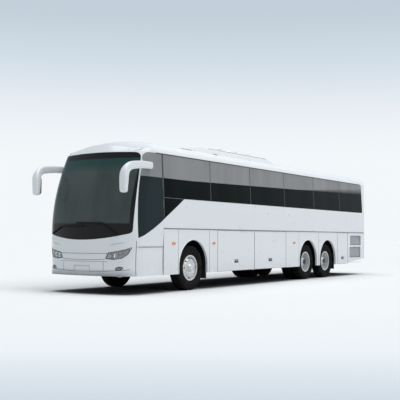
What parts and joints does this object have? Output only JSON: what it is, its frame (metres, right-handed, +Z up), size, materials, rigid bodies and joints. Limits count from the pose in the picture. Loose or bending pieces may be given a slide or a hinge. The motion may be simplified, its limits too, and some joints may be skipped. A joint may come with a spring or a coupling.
{
  "type": "three-axle touring coach",
  "caption": "Long high-floor touring coach with a raked curved screen, banded side glass, top-hinged luggage flaps, plug entry door and steerable front wheels.",
  "frame": {"origin": "on the road under the middle of the overall length, mirror heads included, and on the centre plane", "axes": "+X towards the nose, +Y to the driver's side, +Z up"},
  "size_m": [13.748, 2.726, 3.5917],
  "materials": {
    "body_paint": "pale silver-white coach paint, glossy",
    "trim_grey": "satin grey waist moulding",
    "tinted_glass": "dark tinted side glass",
    "screen_glass": "lightly tinted laminated glass",
    "clear_lens": "clear polycarbonate lens",
    "red_lens": "red and amber lens",
    "amber_lens": "amber lens",
    "dark_steel": "satin black arms",
    "chassis_steel": "matt black chassis paint",
    "floor_ply": "covered plywood floor on steel",
    "bellows_rubber": "ribbed air bellows",
    "engine_iron": "cast and painted engine",
    "seat_fabric": "dark upholstery",
    "dash_plastic": "dark grained plastic",
    "wheel_silver": "silver painted steel",
    "tyre": "road tyre",
    "wiper_black": "black wiper arms and blades"
  },
  "bodies": {
    "body": {"side_panels": "body_paint", "side_walls": "body_paint", "cab_sides": "body_paint", "rear_wall": "body_paint", "front_fascia": "body_paint", "roof": "body_paint", "front_roof": "body_paint", "roof_unit": "body_paint", "waist_mouldings": "trim_grey", "front_grille": "body_paint", "side_and_rear_glass": "tinted_glass", "windscreen": "screen_glass", "front_lamps": "clear_lens", "tail_lamps": "red_lens", "marker_lamps": "amber_lens", "floor": "floor_ply", "underframe": "chassis_steel", "wheel_housings": "chassis_steel", "suspension": "bellows_rubber", "engine": "engine_iron", "axles": "chassis_steel", "seats": "seat_fabric", "dashboard": "dash_plastic", "mirrors": "body_paint", "wipers": "wiper_black"},
    "luggage_door_front_left": {"luggage_door_front_left": "body_paint"},
    "luggage_door_front_right": {"luggage_door_front_right": "body_paint"},
    "luggage_door_rear_left": {"luggage_door_rear_left": "body_paint"},
    "luggage_door_rear_right": {"luggage_door_rear_right": "body_paint"},
    "service_door_left": {"service_door_left": "body_paint"},
    "radiator_door_left": {"radiator_door_left": "body_paint"},
    "locker_door_left": {"locker_door_left": "body_paint"},
    "engine_lid": {"engine_lid": "body_paint"},
    "entry_leaf": {"entry_door": "body_paint", "entry_door_glass": "tinted_glass"},
    "door_arms": {"door_arms": "dark_steel"},
    "knuckle_left": {"knuckle_left": "chassis_steel"},
    "knuckle_right": {"knuckle_right": "chassis_steel"},
    "steering_wheel": {"steering_wheel": "dash_plastic"},
    "wheel_front_left": {"wheel_front_left": "wheel_silver", "tyre_front_left": "tyre"},
    "wheel_front_right": {"wheel_front_right": "wheel_silver", "tyre_front_right": "tyre"},
    "wheel_drive_left": {"wheel_drive_left": "wheel_silver", "tyre_drive_left": "tyre"},
    "wheel_drive_right": {"wheel_drive_right": "wheel_silver", "tyre_drive_right": "tyre"},
    "wheel_tag_left": {"wheel_tag_left": "wheel_silver", "tyre_tag_left": "tyre"},
    "wheel_tag_right": {"wheel_tag_right": "wheel_silver", "tyre_tag_right": "tyre"}
  },
  "joints": [
    {"name": "luggage_door_front_left_hinge", "type": "hinge", "parent": "body", "child": "luggage_door_front_left", "pos_m": [2.1685, 1.275, 1.42], "axis": [1, 0, 0], "range_deg": [0, 88]},
    {"name": "luggage_door_front_right_hinge", "type": "hinge", "parent": "body", "child": "luggage_door_front_right", "pos_m": [2.1685, -1.275, 1.42], "axis": [-1, 0, 0], "range_deg": [0, 88]},
    {"name": "luggage_door_rear_left_hinge", "type": "hinge", "parent": "body", "child": "luggage_door_rear_left", "pos_m": [0.307, 1.275, 1.42], "axis": [1, 0, 0], "range_deg": [0, 88]},
    {"name": "luggage_door_rear_right_hinge", "type": "hinge", "parent": "body", "child": "luggage_door_rear_right", "pos_m": [0.307, -1.275, 1.42], "axis": [-1, 0, 0], "range_deg": [0, 88]},
    {"name": "service_door_left_hinge", "type": "hinge", "parent": "body", "child": "service_door_left", "pos_m": [-4.7445, 1.275, 1.42], "axis": [1, 0, 0], "range_deg": [0, 88]},
    {"name": "radiator_door_left_hinge", "type": "hinge", "parent": "body", "child": "radiator_door_left", "pos_m": [-5.8955, 1.275, 1.42], "axis": [1, 0, 0], "range_deg": [0, 88]},
    {"name": "locker_door_left_hinge", "type": "hinge", "parent": "body", "child": "locker_door_left", "pos_m": [5.841, 1.275, 1.03], "axis": [1, 0, 0], "range_deg": [0, 85]},
    {"name": "engine_lid_hinge", "type": "hinge", "parent": "body", "child": "engine_lid", "pos_m": [-6.874, 0, 1.65], "axis": [0, 1, 0], "range_deg": [0, 80]},
    {"name": "entry_arm_hinge", "type": "hinge", "parent": "body", "child": "door_arms", "pos_m": [6.156, -1.1, 1.5], "axis": [0, 0, 1], "range_deg": [0, 85]},
    {"name": "entry_leaf_hinge", "type": "hinge", "parent": "door_arms", "child": "entry_leaf", "pos_m": [5.706, -1.1, 1.5], "axis": [0, 0, 1], "range_deg": [-85, 0]},
    {"name": "steer_left", "type": "hinge", "parent": "body", "child": "knuckle_left", "pos_m": [4.166, 0.9, 0.525], "axis": [0, 0, 1], "range_deg": [-40, 40]},
    {"name": "steer_right", "type": "hinge", "parent": "body", "child": "knuckle_right", "pos_m": [4.166, -0.9, 0.525], "axis": [0, 0, 1], "range_deg": [-40, 40]},
    {"name": "spin_front_left", "type": "hinge", "parent": "knuckle_left", "child": "wheel_front_left", "pos_m": [4.166, 1.057, 0.525], "axis": [0, 1, 0], "continuous": true},
    {"name": "spin_front_right", "type": "hinge", "parent": "knuckle_right", "child": "wheel_front_right", "pos_m": [4.166, -1.057, 0.525], "axis": [0, 1, 0], "continuous": true},
    {"name": "spin_drive_left", "type": "hinge", "parent": "body", "child": "wheel_drive_left", "pos_m": [-2.114, 1.057, 0.525], "axis": [0, 1, 0], "continuous": true},
    {"name": "spin_drive_right", "type": "hinge", "parent": "body", "child": "wheel_drive_right", "pos_m": [-2.114, -1.057, 0.525], "axis": [0, 1, 0], "continuous": true},
    {"name": "spin_tag_left", "type": "hinge", "parent": "body", "child": "wheel_tag_left", "pos_m": [-3.554, 1.057, 0.525], "axis": [0, 1, 0], "continuous": true},
    {"name": "spin_tag_right", "type": "hinge", "parent": "body", "child": "wheel_tag_right", "pos_m": [-3.554, -1.057, 0.525], "axis": [0, 1, 0], "continuous": true},
    {"name": "steering_wheel_turn", "type": "hinge", "parent": "body", "child": "steering_wheel", "pos_m": [5.766, 0.6, 1.64], "axis": [-0.4226, 0, 0.9063], "range_deg": [-720, 720]}
  ],
  "couplings": [
    {"joint": "entry_leaf_hinge", "follows": "entry_arm_hinge", "ratio": -1},
    {"joint": "steer_right", "follows": "steer_left", "ratio": 1},
    {"joint": "steering_wheel_turn", "follows": "steer_left", "ratio": 18}
  ]
}
